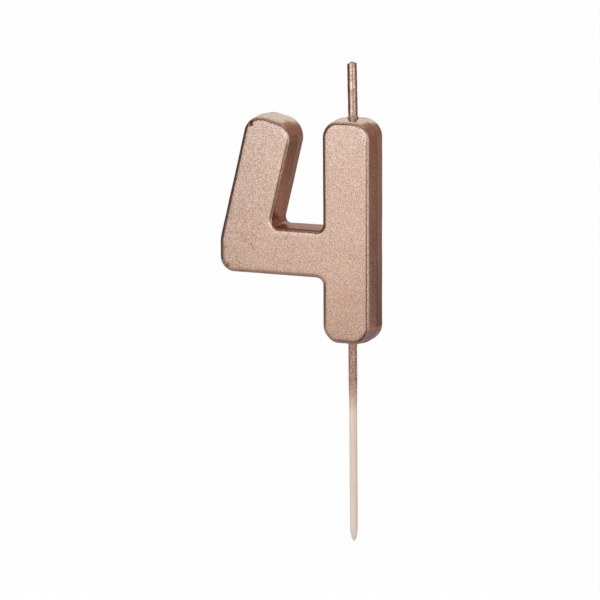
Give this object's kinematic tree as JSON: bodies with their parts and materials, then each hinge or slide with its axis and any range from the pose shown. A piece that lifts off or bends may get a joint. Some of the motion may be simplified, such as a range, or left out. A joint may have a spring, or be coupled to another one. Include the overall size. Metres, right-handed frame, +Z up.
{
  "type": "number birthday candle",
  "caption": "Moulded wax numeral four in metallic rose gold, with a primed wick standing on its stem and a pointed wooden pick below for pushing into a cake.",
  "frame": {"origin": "on the stem's axis at the numeral's underside, where the pick leaves the wax and the cake's top lies", "axes": "+X to the right as the numeral reads, +Y from the front to the back, +Z up along the stem, wick and pick"},
  "size_m": [0.0418, 0.0086, 0.1223],
  "materials": {
    "rose_gold_lacquer": "metallic rose-gold lacquer with fine flake, sprayed over cast paraffin wax",
    "primed_wick": "priming wax under the same rose-gold lacquer, lumpy and bright",
    "cotton": "twisted cotton yarn stiffened with wax",
    "pale_wood": "bare pale wood, its top quarter sprayed over with the lacquer"
  },
  "bodies": {
    "root": {"numeral_body": "rose_gold_lacquer", "wick_seal": "rose_gold_lacquer", "wick_sheath": "primed_wick", "wick_ply_1": "cotton", "wick_ply_2": "cotton", "wick_ply_3": "cotton", "pick": "pale_wood"}
  },
  "joints": []
}
